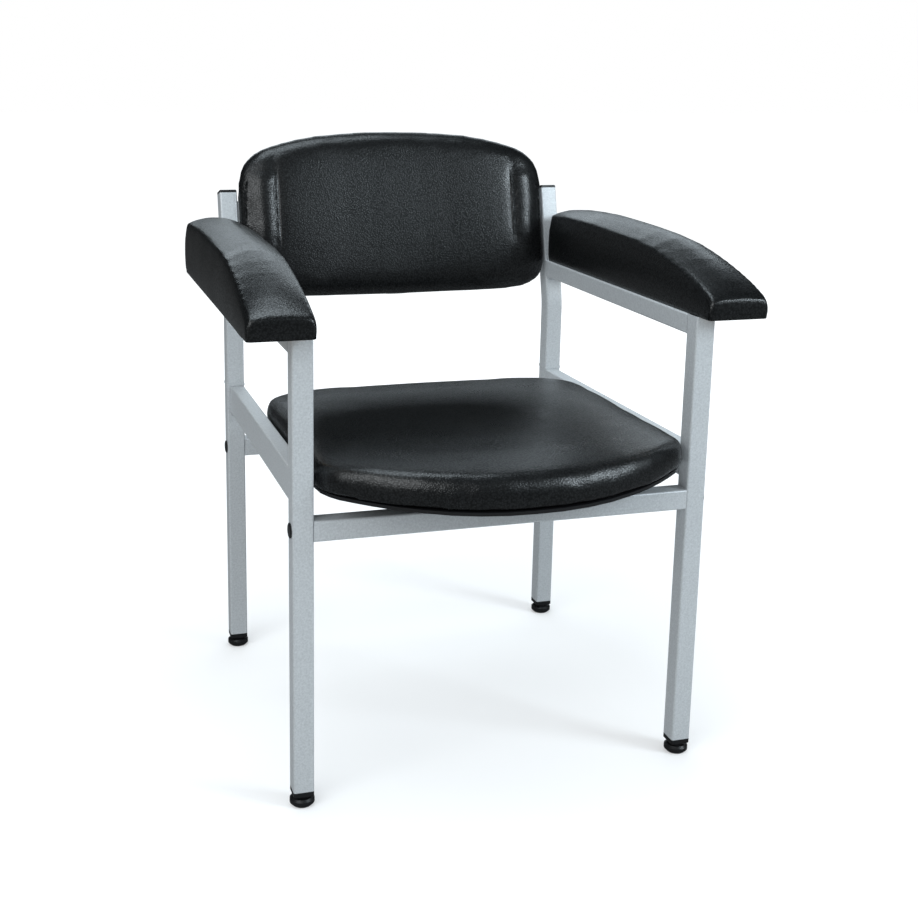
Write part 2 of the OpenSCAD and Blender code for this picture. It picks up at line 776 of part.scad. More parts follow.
module arm_board(side) {
  w = arm_pad_w - 2 * arm_board_margin;
  color(ply) difference() {
    in_frame() translate([side < 0 ? -inner_x - arm_board_margin - w : inner_x + arm_board_margin,
      arm_front + arm_board_margin, arm_rail_z])
      cube([w, arm_len - 2 * arm_board_margin, arm_board_t]);
    arm_screw_places(side) {
      translate([0, 0, -over]) cylinder(r = tee_r, h = arm_board_t + over);
      translate([0, 0, arm_board_t - tee_flange_t]) cylinder(r = tee_flange_r, h = over);
    }
  }
}

module arm_board_right() { arm_board(-1); }
module arm_board_left() { arm_board(1); }

module arm_tee_nuts() {
  color(zinc) for (side = [-1, 1]) arm_screw_places(side)
    translate([0, 0, arm_board_t]) tee_nut(arm_board_t - tee_flange_t);
}

module arm_screws() {
  color(zinc) for (side = [-1, 1]) arm_screw_places(side)
    translate([0, 0, -tube_wall]) pan_screw(tube_wall + arm_board_t - tee_flange_t);
}

module arm_cushion(side) {
  w = arm_pad_w - 2 * arm_board_margin;
  // Each row is its place along the pad, its inset from the sides and its lift off the rail
  ends = [[0, arm_end_round], [arm_end_round / 3, arm_end_round / 3], [arm_end_round, 0]];
  rows = concat(
    [for (e = ends) [e[0] / arm_len, e[1]]],
    [for (share = arm_row_shares) [share, 0]],
    [for (i = [2:-1:0]) [1 - ends[i][0] / arm_len, ends[i][1]]]
  );
  sections = [for (row = rows) let (
      top = arm_height(row[0]) - row[1],
      fall = arm_crown * lookup(row[0], arm_crown_shares),
      crown = function(a) top - fall * pow(2 * a / arm_pad_w - 1, 2),
      edge = cushion_section(row[1], arm_pad_w - row[1], function(a) row[1] / 2, crown,
        arm_waist_share, arm_round, arm_tuck, 4, 2)
    ) [for (p = edge) [side * (inner_x + p[0]), arm_front + row[0] * arm_len, arm_rail_z + p[1]]]];
  color(black) in_frame() difference() {
    lofted(side > 0 ? [for (i = [len(sections) - 1:-1:0]) sections[i]] : sections);
    translate([side < 0 ? -inner_x - arm_board_margin - w - soft_gap
        : inner_x + arm_board_margin - soft_gap,
      arm_front + arm_board_margin - soft_gap, arm_rail_z - over])
      cube([w + 2 * soft_gap, arm_len - 2 * arm_board_margin + 2 * soft_gap, arm_board_t + over]);
  }
}

module arm_cushion_right() { arm_cushion(-1); }
module arm_cushion_left() { arm_cushion(1); }

// Levelling feet
module at_foot(side, y) {
  in_frame() translate([side * leg_x, y, 0]) children();
}

module at_feet() {
  for (side = [-1, 1], y = [tube / 2, bend_y]) at_foot(side, y) children();
}

module hexagon(af, h) {
  cylinder(r = af / 2 / cos(30), h = h, $fn = 6);
}

module foot_inserts() {
  plug = tube - 2 * tube_wall - fit;
  color(plastic) at_feet() difference() {
    union() {
      translate([0, 0, foot_h + foot_gap])
        linear_extrude(height = collar_chamfer)
          rounded_section(tube - 2 * collar_chamfer, tube - 2 * collar_chamfer, tube_corner);
      translate([0, 0, foot_h + foot_gap + collar_chamfer])
        linear_extrude(height = collar_h - collar_chamfer) rounded_section(tube, tube, tube_corner);
      translate([0, 0, tube_end_z])
        linear_extrude(height = insert_l) rounded_section(plug, plug, tube_corner - tube_wall / 2);
    }
    cylinder(r = stud_r + insert_fit, h = tube_end_z + insert_l + over);
    translate([0, 0, tube_end_z + nut_lift]) hexagon(nut_af, nut_h);
  }
}

module foot_nuts() {
  color(zinc) at_feet() translate([0, 0, tube_end_z + nut_lift]) difference() {
    hexagon(nut_af, nut_h);
    translate([0, 0, -over]) cylinder(r = stud_r + thread_fit, h = nut_h + 2 * over);
  }
}

module foot_pad(side, y) {
  color(plastic) at_foot(side, y) difference() {
    rotate_extrude() polygon([
      [0, 0], [foot_sole_r, 0], [foot_r, foot_chamfer], [foot_r, foot_h - foot_top_chamfer],
      [foot_r - foot_top_chamfer, foot_h], [0, foot_h]
    ]);
    translate([0, 0, socket_floor]) cylinder(r = socket_r + thread_fit, h = socket_h + thread_fit);
    translate([0, 0, socket_floor]) cylinder(r = stud_r + thread_fit, h = foot_h);
  }
}

module foot_stud(side, y) {
  color(zinc) at_foot(side, y) {
    translate([0, 0, socket_floor + thread_fit / 2]) cylinder(r = socket_r, h = socket_h);
    translate([0, 0, socket_floor + thread_fit / 2]) cylinder(r = stud_r, h = stud_l);
    translate([0, 0, foot_h + thread_fit]) hexagon(spanner_af, spanner_h);
  }
}

module foot_pad_front_right() { foot_pad(-1, tube / 2); }
module foot_pad_front_left() { foot_pad(1, tube / 2); }
module foot_pad_rear_right() { foot_pad(-1, bend_y); }
module foot_pad_rear_left() { foot_pad(1, bend_y); }
module foot_stud_front_right() { foot_stud(-1, tube / 2); }
module foot_stud_front_left() { foot_stud(1, tube / 2); }
module foot_stud_rear_right() { foot_stud(-1, bend_y); }
module foot_stud_rear_left() { foot_stud(1, bend_y); }

front_leg_right();
front_leg_left();
rear_leg_right();
rear_leg_left();
upright_right();
upright_left();
upright_cap_right();
upright_cap_left();
seat_rail_right();
seat_rail_left();
arm_rail_right();
arm_rail_left();
front_cross_rail();
rear_cross_rail();
rail_end_blocks();
rail_bolts();
bolt_caps();
weld_beads();
seat_lugs();
seat_shell();
seat_board();
seat_tee_nuts();
seat_screws();
seat_cushion();
back_bracket_right();
back_bracket_left();
back_shell();
back_board();
back_screws();
back_cushion();
arm_board_right();
arm_board_left();
arm_tee_nuts();
arm_screws();
arm_cushion_right();
arm_cushion_left();
foot_inserts();
foot_nuts();
foot_pad_front_right();
foot_pad_front_left();
foot_pad_rear_right();
foot_pad_rear_left();
foot_stud_front_right();
foot_stud_front_left();
foot_stud_rear_right();
foot_stud_rear_left();
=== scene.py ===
import json
import math

import bmesh
import bpy
import numpy as np
from mathutils import Matrix, Vector
from mathutils.bvhtree import BVHTree


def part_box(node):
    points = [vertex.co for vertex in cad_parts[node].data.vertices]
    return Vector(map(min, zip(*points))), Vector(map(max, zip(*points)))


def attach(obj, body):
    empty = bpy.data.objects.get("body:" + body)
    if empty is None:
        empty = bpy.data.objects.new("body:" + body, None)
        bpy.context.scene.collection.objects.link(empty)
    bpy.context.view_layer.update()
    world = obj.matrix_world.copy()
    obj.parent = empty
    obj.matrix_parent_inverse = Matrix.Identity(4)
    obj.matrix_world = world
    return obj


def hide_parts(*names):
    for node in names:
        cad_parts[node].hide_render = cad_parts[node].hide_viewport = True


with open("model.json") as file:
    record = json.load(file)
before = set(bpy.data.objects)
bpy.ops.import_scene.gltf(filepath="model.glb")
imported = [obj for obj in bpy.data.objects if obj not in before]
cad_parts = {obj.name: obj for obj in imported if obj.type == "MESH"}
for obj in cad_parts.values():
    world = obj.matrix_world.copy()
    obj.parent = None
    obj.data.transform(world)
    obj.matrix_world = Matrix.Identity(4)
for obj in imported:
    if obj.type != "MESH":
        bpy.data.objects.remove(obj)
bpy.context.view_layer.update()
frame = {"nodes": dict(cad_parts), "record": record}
cadNodes = frame["nodes"]
print("frame loaded:", len(cadNodes), "nodes")

mm = 0.001


# Camera at the photograph's viewing angle: place in metres, turns in radians, lens and sensor in mm
cameraLook = {
    "place": (-0.5495, -1.6467, 0.8727),
    "yaw": -0.2848,
    "pitch": 0.2138,
    "roll": 0.0123,
    "lens": 52.47,
    "sensor": 36,
    "shiftX": 0.0643,
    "shiftY": -0.1187,
    "nearest": 0.05,
    "farthest": 50,
}


def makeCamera(look):
    data = bpy.data.cameras.new("camera")
    camera = bpy.data.objects.new("camera", data)
    bpy.context.scene.collection.objects.link(camera)
    yaw, pitch, roll = look["yaw"], look["pitch"], look["roll"]
    forward = Vector((
        -math.sin(yaw) * math.cos(pitch),
        math.cos(yaw) * math.cos(pitch),
        -math.sin(pitch),
    ))
    right = Vector((math.cos(yaw), math.sin(yaw), 0))
    up = right.cross(forward)
    rolledRight = math.cos(roll) * right + math.sin(roll) * up
    rolledUp = math.cos(roll) * up - math.sin(roll) * right
    turn = Matrix((rolledRight, rolledUp, -forward)).transposed().to_4x4()
    camera.matrix_world = Matrix.Translation(look["place"]) @ turn
    data.sensor_width = look["sensor"]
    data.lens = look["lens"]
    data.shift_x = look["shiftX"]
    data.shift_y = look["shiftY"]
    data.clip_start = look["nearest"]
    data.clip_end = look["farthest"]
    bpy.context.scene.camera = camera


makeCamera(cameraLook)
print("camera placed")


# Node helpers
def newMaterial(name):
    material = bpy.data.materials.new(name)
    material.use_nodes = True
    nodes = material.node_tree.nodes
    nodes.clear()
    out = nodes.new("ShaderNodeOutputMaterial")
    shader = nodes.new("ShaderNodeBsdfPrincipled")
    material.node_tree.links.new(shader.outputs["BSDF"], out.inputs["Surface"])
    return material, nodes, material.node_tree.links, shader


def objectCoords(nodes):
    return nodes.new("ShaderNodeTexCoord").outputs["Object"]


def noiseTexture(nodes, links, coords, scale, detail, roughness=0.5, distortion=0.0):
    texture = nodes.new("ShaderNodeTexNoise")
    texture.inputs["Scale"].default_value = scale
    texture.inputs["Detail"].default_value = detail
    texture.inputs["Roughness"].default_value = roughness
    texture.inputs["Distortion"].default_value = distortion
    links.new(coords, texture.inputs["Vector"])
    return texture.outputs["Fac"]


def mapRange(nodes, links, value, low, high, fromLow=0.0, fromHigh=1.0):
    ranged = nodes.new("ShaderNodeMapRange")
    ranged.inputs["From Min"].default_value = fromLow
    ranged.inputs["From Max"].default_value = fromHigh
    ranged.inputs["To Min"].default_value = low
    ranged.inputs["To Max"].default_value = high
    links.new(value, ranged.inputs["Value"])
    return ranged.outputs["Result"]


# Each side of the sum is a number or a socket
def mathNode(nodes, links, operation, first, second=None):
    node = nodes.new("ShaderNodeMath")
    node.operation = operation
    for socket, value in zip(node.inputs, (first, second)):
        if value is None:
            continue
        if isinstance(value, (int, float)):
            socket.default_value = value
        else:
            links.new(value, socket)
    return node.outputs["Value"]


def mixColours(nodes, links, factor, first, second):
    mixed = nodes.new("ShaderNodeMix")
    mixed.data_type = "RGBA"
    links.new(factor, mixed.inputs["Factor"])
    mixed.inputs["A"].default_value = (*first, 1)
    mixed.inputs["B"].default_value = (*second, 1)
    return mixed.outputs["Result"]


def bump(nodes, links, height, strength, depth, under=None):
    bumped = nodes.new("ShaderNodeBump")
    bumped.inputs["Strength"].default_value = strength
    bumped.inputs["Distance"].default_value = depth
    links.new(height, bumped.inputs["Height"])
    if under is not None:
        links.new(under, bumped.inputs["Normal"])
    return bumped.outputs["Normal"]


# Silver-grey powder coat: a fine speckle over a coarser mottle, with an orange-peel surface
coatLook = {
    "light": (0.565, 0.59, 0.605),
    "dark": (0.42, 0.44, 0.455),
    "metallic": 0.25,
    "roughness": (0.32, 0.44),
    "speckle": {"scale": 2600, "detail": 2.0},
    "speckleShare": 0.4,
    "mottle": {"scale": 420, "detail": 3.0, "roughness": 0.6},
    "grainRange": (0.36, 0.64),
    "cloud": {"scale": 9, "detail": 3.0},
    "peel": {"scale": 700, "detail": 2.0},
    "peelStrength": 0.14,
    "peelDepth": 0.4 * mm,
}


def powderCoat(name, look):
    material, nodes, links, shader = newMaterial(name)
    coords = objectCoords(nodes)
    speckle = noiseTexture(nodes, links, coords, **look["speckle"])
    mottle = noiseTexture(nodes, links, coords, **look["mottle"])
    cloud = noiseTexture(nodes, links, coords, **look["cloud"])
    peel = noiseTexture(nodes, links, coords, **look["peel"])
    fine = mathNode(nodes, links, "MULTIPLY", speckle, look["speckleShare"])
    coarse = mathNode(nodes, links, "MULTIPLY", mottle, 1 - look["speckleShare"])
    both = mathNode(nodes, links, "ADD", fine, coarse)
    grain = mapRange(nodes, links, both, 0.0, 1.0, *look["grainRange"])
    colour = mixColours(nodes, links, grain, look["dark"], look["light"])
    sheen = mapRange(nodes, links, cloud, *look["roughness"])
    surface = bump(nodes, links, peel, look["peelStrength"], look["peelDepth"])
    links.new(colour, shader.inputs["Base Color"])
    shader.inputs["Metallic"].default_value = look["metallic"]
    links.new(sheen, shader.inputs["Roughness"])
    links.new(surface, shader.inputs["Normal"])
    return material


# Black leatherette: pebbles that shine more than the valleys between them, and slow changes of sheen
leatherLook = {
    "dark": (0.0022, 0.0026, 0.0028),
    "light": (0.0088, 0.0097, 0.0104),
    "roughness": (0.24, 0.32),
    "specular": (0.35, 0.7),
    "grainScale": 430,
    "grainRandomness": 0.9,
    "grainReach": 0.75,
    "grainStrength": 0.55,
    "grainDepth": 0.3 * mm,
    "valleyRoughness": 0.08,
    "valleyTop": 0.75,
    "warp": {"scale": 340, "detail": 2.0},
    "warpRange": (0.5, 1.3),
    "cloud": {"scale": 14, "detail": 4.0, "roughness": 0.55},
    "cloudRange": (0.3, 0.7),
    "crease": {"scale": 60, "detail": 3.0, "roughness": 0.5, "distortion": 0.4},
    "creaseStrength": 0.05,
    "creaseDepth": 1.2 * mm,
}
# Upright pressed lines in the backrest's cover: their distance from the middle, width, depth and ends
lineLook = {
    "x": 178 * mm,
    "width": 2.2 * mm,
    "depth": 0.7 * mm,
    "low": 0.6,
    "high": 0.722,
    "fade": 0.04,
}


def pressedLine(nodes, links, coords, line):
    split = nodes.new("ShaderNodeSeparateXYZ")
    links.new(coords, split.inputs["Vector"])
    height = split.outputs["Z"]
    across = mathNode(nodes, links, "ABSOLUTE", split.outputs["X"])
    away = mathNode(nodes, links, "ABSOLUTE", mathNode(nodes, links, "SUBTRACT", across, line["x"]))
    near = mapRange(nodes, links, away, 1.0, 0.0, 0.0, line["width"])
    above = mapRange(nodes, links, height, 0.0, 1.0, line["low"], line["low"] + line["fade"])
    below = mapRange(nodes, links, height, 1.0, 0.0, line["high"] - line["fade"], line["high"])
    shown = mathNode(nodes, links, "MULTIPLY", above, below)
    rounded = mathNode(nodes, links, "MULTIPLY", near, near)
    return mathNode(nodes, links, "MULTIPLY", rounded, shown)


def leatherette(name, look, line=None):
    material, nodes, links, shader = newMaterial(name)
    coords = objectCoords(nodes)
    cells = nodes.new("ShaderNodeTexVoronoi")
    cells.feature = "F1"
    cells.inputs["Scale"].default_value = look["grainScale"]
    cells.inputs["Randomness"].default_value = look["grainRandomness"]
    links.new(coords, cells.inputs["Vector"])
    pebble = mapRange(nodes, links, cells.outputs["Distance"], 1.0, 0.0, 0.0, look["grainReach"])
    warp = noiseTexture(nodes, links, coords, **look["warp"])
    cloud = noiseTexture(nodes, links, coords, **look["cloud"])
    crease = noiseTexture(nodes, links, coords, **look["crease"])

    colour = mixColours(nodes, links, pebble, look["dark"], look["light"])
    valleys = mapRange(nodes, links, pebble, look["valleyRoughness"], 0.0, 0.0, look["valleyTop"])
    sheen = mapRange(nodes, links, cloud, *look["roughness"], *look["cloudRange"])
    rough = mathNode(nodes, links, "ADD", sheen, valleys)
    shine = mapRange(nodes, links, pebble, *look["specular"])

    surface = bump(nodes, links, crease, look["creaseStrength"], look["creaseDepth"])
    if line:
        pressed = mathNode(nodes, links, "MULTIPLY", pressedLine(nodes, links, coords, line), -1.0)
        surface = bump(nodes, links, pressed, 1.0, line["depth"], surface)
    uneven = mapRange(nodes, links, warp, *look["warpRange"])
    height = mathNode(nodes, links, "MULTIPLY", pebble, uneven)
    surface = bump(nodes, links, height, look["grainStrength"], look["grainDepth"], surface)

    links.new(colour, shader.inputs["Base Color"])
    links.new(rough, shader.inputs["Roughness"])
    links.new(shine, shader.inputs["Specular IOR Level"])
    links.new(surface, shader.inputs["Normal"])
    return material


# Black moulded plastic
plasticLook = {
    "dark": (0.004, 0.004, 0.0045),
    "light": (0.009, 0.009, 0.01),
    "roughness": (0.3, 0.42),
    "specular": 0.5,
    "grain": {"scale": 1500, "detail": 3.0},
    "grainStrength": 0.25,
    "grainDepth": 0.3 * mm,
    "cloud": {"scale": 60, "detail": 3.0},
}


def mouldedPlastic(name, look):
    material, nodes, links, shader = newMaterial(name)
    coords = objectCoords(nodes)
    grain = noiseTexture(nodes, links, coords, **look["grain"])
    cloud = noiseTexture(nodes, links, coords, **look["cloud"])
    colour = mixColours(nodes, links, grain, look["dark"], look["light"])
    sheen = mapRange(nodes, links, cloud, *look["roughness"])
    surface = bump(nodes, links, grain, look["grainStrength"], look["grainDepth"])
    links.new(colour, shader.inputs["Base Color"])
    links.new(sheen, shader.inputs["Roughness"])
    shader.inputs["Specular IOR Level"].default_value = look["specular"]
    links.new(surface, shader.inputs["Normal"])
    return material


# Bare plywood: long grain on the faces, plies on the edges
plyLook = {
    "light": (0.62, 0.44, 0.27),
    "dark": (0.36, 0.22, 0.12),
    "roughness": 0.6,
    "stretch": (30, 2.5, 30),
    "grain": {"scale": 6, "detail": 5.0, "roughness": 0.6, "distortion": 0.8},
    "grainStrength": 0.2,
    "grainDepth": 0.5 * mm,
    "plyPitch": 1.5 * mm,
    "wavePitch": 0.31,  # pitch of a wave texture's bands at scale 1
    "plyDistortion": 0.6,
    "plyRange": (0.7, 1.2),
    "colourRange": (0.2, 0.75),
}


def plywood(name, look):
    material, nodes, links, shader = newMaterial(name)
    coords = objectCoords(nodes)
    stretch = nodes.new("ShaderNodeMapping")
    stretch.inputs["Scale"].default_value = look["stretch"]
    links.new(coords, stretch.inputs["Vector"])
    grain = noiseTexture(nodes, links, stretch.outputs["Vector"], **look["grain"])
    plies = nodes.new("ShaderNodeTexWave")
    plies.wave_type = "BANDS"
    plies.bands_direction = "Z"
    plies.inputs["Scale"].default_value = look["wavePitch"] / look["plyPitch"]
    plies.inputs["Distortion"].default_value = look["plyDistortion"]
    links.new(coords, plies.inputs["Vector"])
    layers = mapRange(nodes, links, plies.outputs["Fac"], *look["plyRange"])
    both = mathNode(nodes, links, "MULTIPLY", grain, layers)
    factor = mapRange(nodes, links, both, 0.0, 1.0, *look["colourRange"])
    colour = mixColours(nodes, links, factor, look["dark"], look["light"])
    surface = bump(nodes, links, grain, look["grainStrength"], look["grainDepth"])
    links.new(colour, shader.inputs["Base Color"])
    shader.inputs["Roughness"].default_value = look["roughness"]
    links.new(surface, shader.inputs["Normal"])
    return material


# Zinc-plated steel with a faint spangle
zincLook = {
    "light": (0.72, 0.73, 0.74),
    "dark": (0.52, 0.53, 0.55),
    "metallic": 1.0,
    "roughness": (0.25, 0.45),
    "spangle": {"scale": 400, "detail": 4.0, "roughness": 0.6},
    "spangleStrength": 0.1,
    "spangleDepth": 0.2 * mm,
}


def zincSteel(name, look):
    material, nodes, links, shader = newMaterial(name)
    spangle = noiseTexture(nodes, links, objectCoords(nodes), **look["spangle"])
    colour = mixColours(nodes, links, spangle, look["dark"], look["light"])
    sheen = mapRange(nodes, links, spangle, *look["roughness"])
    surface = bump(nodes, links, spangle, look["spangleStrength"], look["spangleDepth"])
    links.new(colour, shader.inputs["Base Color"])
    shader.inputs["Metallic"].default_value = look["metallic"]
    links.new(sheen, shader.inputs["Roughness"])
    links.new(surface, shader.inputs["Normal"])
    return material


# The solids' materials, by the slot names of the frame's record, and one more for the backrest's cover
materials = {
    "silver_powder_coat": powderCoat("silver_powder_coat_look", coatLook),
    "black_leatherette": leatherette("black_leatherette_look", leatherLook),
    "backrest_leatherette": leatherette("backrest_leatherette_look", leatherLook, lineLook),
    "black_plastic": mouldedPlastic("black_plastic_look", plasticLook),
    "plywood": plywood("plywood_look", plyLook),
    "zinc_steel": zincSteel("zinc_steel_look", zincLook),
}
for row in frame["record"]["subparts"]:
    for place in cadNodes[row["node"]].material_slots:
        place.material = materials[row["material_slot"]]
print("materials assigned")


def readPoints(mesh):
    flat = np.empty(len(mesh.vertices) * 3)
    mesh.vertices.foreach_get("co", flat)
    return flat.reshape(-1, 3)


def readNormals(mesh):
    mesh.update()
    flat = np.empty(len(mesh.vertices) * 3)
    mesh.vertices.foreach_get("normal", flat)
    return flat.reshape(-1, 3)


def writePoints(mesh, points):
    mesh.vertices.foreach_set("co", points.ravel())
    mesh.update()


def applyModifiers(piece):
    graph = bpy.context.evaluated_depsgraph_get()
    finished = bpy.data.meshes.new_from_object(piece.evaluated_get(graph))
    piece.modifiers.clear()
    previous = piece.data
    piece.data = finished
    bpy.data.meshes.remove(previous)


# Average of each vertex's value with its neighbours', a number of times
def evenOut(mesh, values, times):
    ends = np.empty(len(mesh.edges) * 2, dtype=np.int32)
    mesh.edges.foreach_get("vertices", ends)
    ends = ends.reshape(-1, 2)
    near = np.maximum(np.bincount(ends.ravel(), minlength=len(mesh.vertices)), 1)[:, None]
    for _ in range(times):
        total = np.zeros_like(values)
        np.add.at(total, ends[:, 0], values[ends[:, 1]])
        np.add.at(total, ends[:, 1], values[ends[:, 0]])
        values = 0.5 * values + 0.5 * total / near
    return values


# Padded pieces start as the solids of a cushion and its board, made into one closed skin
def closedSkin(name, nodeNames, look):
    shape = bmesh.new()
    for nodeName in nodeNames:
        shape.from_mesh(cadNodes[nodeName].data)
    mesh = bpy.data.meshes.new(name)
    shape.to_mesh(mesh)
    shape.free()
    piece = bpy.data.objects.new(name, mesh)
    bpy.context.scene.collection.objects.link(piece)
    remesh = piece.modifiers.new("remesh", "REMESH")
    remesh.mode = "VOXEL"
    remesh.voxel_size = look["voxel"]
    applyModifiers(piece)
    points = evenOut(piece.data, readPoints(piece.data), look["ease"])
    writePoints(piece.data, points)
    writePoints(piece.data, points - readNormals(piece.data) * look["shrink"])
    return piece


# Cloth of every cover
clothLook = {
    "quality": 4,
    "mass": 0.3,
    "stretching": 8,
    "shearing": 4,
    "bending": 1.5,
}


# The cover is blown up from inside, and only the even part of its movement is kept
def inflate(piece, look, held):
    start = readPoints(piece.data)
    pins = piece.vertex_groups.new(name="held")
    pins.add([i for i, point in enumerate(start) if held(*point)], 1.0, "REPLACE")
    cloth = piece.modifiers.new("cloth", "CLOTH")
    settings = cloth.settings
    settings.quality = clothLook["quality"]
    settings.mass = clothLook["mass"]
    settings.use_pressure = True
    settings.uniform_pressure_force = look["pressure"]
    settings.tension_stiffness = clothLook["stretching"]
    settings.compression_stiffness = clothLook["stretching"]
    settings.shear_stiffness = clothLook["shearing"]
    settings.bending_stiffness = clothLook["bending"]
    settings.vertex_group_mass = "held"
    settings.effector_weights.gravity = 0
    cloth.collision_settings.use_collision = False
    scene = bpy.context.scene
    for step in range(1, look["frames"] + 1):
        scene.frame_set(step)
    applyModifiers(piece)
    piece.vertex_groups.clear()
    moved = readPoints(piece.data) - start
    scene.frame_set(1)
    size = np.linalg.norm(moved, axis=1, keepdims=True)
    moved *= look["cap"] / (look["cap"] + size)
    moved = evenOut(piece.data, moved, look["even"])
    writePoints(piece.data, start + moved)
    most = float(np.linalg.norm(moved, axis=1).max())
    print(piece.name, "moved up to", round(most / mm, 1), "mm")


def subdivide(piece):
    finer = piece.modifiers.new("finer", "SUBSURF")
    finer.levels = 1
    finer.render_levels = 1
    applyModifiers(piece)
    for face in piece.data.polygons:
        face.use_smooth = True


# A pad is stretched to the box of the solid that it stands for, along the axes given
def fitBox(piece, nodeName, axes=(0, 1, 2)):
    low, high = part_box(nodeName)
    points = readPoints(piece.data)
    for axis in axes:
        least, most = points[:, axis].min(), points[:, axis].max()
        scale = (high[axis] - low[axis]) / (most - least)
        points[:, axis] = low[axis] + (points[:, axis] - least) * scale
    writePoints(piece.data, points)


# The cover goes round its board with a small clear space
def coverBoard(piece, boardName, clear, reach):
    board = cadNodes[boardName].data
    corners = [vertex.co for vertex in board.vertices]
    tree = BVHTree.FromPolygons(corners, [face.vertices[:] for face in board.polygons])
    for vertex in piece.data.vertices:
        spot, normal, _, _ = tree.find_nearest(vertex.co, reach)
        if spot is None:
            continue
        out = (vertex.co - spot).dot(normal)
        if out < clear:
            vertex.co += normal * (clear - out)


def dress(piece, nodeName, cover="black_leatherette"):
    piece.data.materials.clear()
    piece.data.materials.append(materials[cover])
    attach(piece, "root")
    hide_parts(nodeName)


# Seat cushion, held where its underside lies on the board
seatLook = {
    "voxel": 5 * mm,
    "ease": 2,
    "shrink": 1.0 * mm,
    "pressure": 4.0,
    "frames": 20,
    "cap": 6 * mm,
    "even": 12,
    "heldBelow": 14 * mm,
    "heldWithin": 10 * mm,
    "fill": 0.8,
}


def makeSeat(look):
    piece = closedSkin("seat_pad", ["seat_cushion", "seat_board"], look)
    low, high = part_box("seat_board")
    heldZ = high.z - look["heldBelow"]
    heldX = high.x - look["heldWithin"]
    inflate(piece, look, lambda x, y, z: z < heldZ and abs(x) < heldX and y > low.y)
    subdivide(piece)
    fitBox(piece, "seat_cushion")
    dress(piece, "seat_cushion")


makeSeat(seatLook)
print("seat pad made")


# Backrest cushion, with the cover pulled in along two upright lines and a fuller edge beyond each.
# The crease's low and high ends and their fades are shares of the cushion's height.
backLook = {
    "voxel": 5 * mm,
    "ease": 2,
    "shrink": 1.0 * mm,
    "pressure": 4.0,
    "frames": 20,
    "cap": 5 * mm,
    "even": 12,
    "clear": 0.8 * mm,
    "reach": 20 * mm,
    "creaseX": 178 * mm,
    "creaseWidth": 8 * mm,
    "creaseDepth": 0.6 * mm,
    "creaseLow": 0.28,
    "creaseHigh": 0.8,
    "lowFade": 0.18,
    "highFade": 0.08,
    "swellWidth": 24 * mm,
    "swellFall": 1.2,
    "swellHeight": 2.3 * mm,
    "facing": 0.3,
    "facingGain": 2,
    "fill": 0.8,
}


def creaseBack(piece, look):
    low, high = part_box("back_cushion")
    points, normals = readPoints(piece.data), readNormals(piece.data)
    beyond = np.abs(points[:, 0]) - look["creaseX"]
    share = (points[:, 2] - low.z) / (high.z - low.z)
    fade = np.clip((share - look["creaseLow"]) / look["lowFade"], 0, 1)
    fade *= np.clip((look["creaseHigh"] - share) / look["highFade"], 0, 1)
    fade *= np.clip((-normals[:, 1] - look["facing"]) * look["facingGain"], 0, 1)
    fade = fade * fade * (3 - 2 * fade)
    groove = np.exp(-((beyond / look["creaseWidth"]) ** 2))
    reach = np.clip(beyond / look["swellWidth"], 0, 1 + look["swellFall"])
    rise = np.sin(reach * np.pi / 2)
    fall = 0.5 + 0.5 * np.cos((reach - 1) * np.pi / look["swellFall"])
    swell = np.where(reach < 1, rise, fall)
    out = fade * (look["swellHeight"] * swell - look["creaseDepth"] * groove)
    writePoints(piece.data, points + normals * out[:, None])


# The skin also holds the board, so its depth isn't fitted
def makeBack(look):
    piece = closedSkin("back_pad", ["back_cushion", "back_board"], look)
    inflate(piece, look, lambda x, y, z: False)
    subdivide(piece)
    fitBox(piece, "back_cushion", (0, 2))
    creaseBack(piece, look)
    coverBoard(piece, "back_board", look["clear"], look["reach"])
    dress(piece, "back_cushion", "backrest_leatherette")


makeBack(backLook)
print("back pad made")


# Arm pads, held where they lie on their boards
armLook = {
    "voxel": 4 * mm,
    "ease": 2,
    "shrink": 0.8 * mm,
    "pressure": 3.0,
    "frames": 16,
    "cap": 2 * mm,
    "even": 40,
    "rimWidth": 1 * mm,
    "rimHeight": 4 * mm,
    "facing": -0.3,
    "fill": 0.9,
}


# The cover ends as a flat rim round the board and leaves the board's underside bare
def openUnderside(piece, boardName, look):
    low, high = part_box(boardName)
    points, normals = readPoints(piece.data), readNormals(piece.data)
    under = (points[:, 2] < low.z + look["rimHeight"]) & (normals[:, 2] < look["facing"])
    inside = under.copy()
    for axis in (0, 1):
        inside &= points[:, axis] > low[axis] + look["rimWidth"]
        inside &= points[:, axis] < high[axis] - look["rimWidth"]
    points[under, 2] = low.z
    points[inside, 2] = low.z + look["rimHeight"]
    writePoints(piece.data, points)


def makeArm(side, look):
    boardName = "arm_board_" + side
    cushionName = "arm_cushion_" + side
    piece = closedSkin("arm_pad_" + side, [cushionName, boardName], look)
    _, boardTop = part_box(boardName)
    inflate(piece, look, lambda x, y, z: z < boardTop.z)
    subdivide(piece)
    fitBox(piece, cushionName)
    openUnderside(piece, boardName, look)
    dress(piece, cushionName)


for side in ("right", "left"):
    makeArm(side, armLook)
print("arm pads made")


# Floor and room. Reflections see a darker floor and room, and the floor glows white with distance.
studioLook = {
    "floorSize": 40,
    "floorColour": (0.66, 0.66, 0.66),
    "floorReflected": (0.13, 0.13, 0.13),
    "floorRoughness": 0.9,
    "floorGlow": (0.3, 0.66),
    "floorGlowReach": (0.5, 2.6),
    "room": (0.93, 0.97, 1.0),
    "roomDiffuse": 0.64,
    "roomGlossy": 0.03,
}


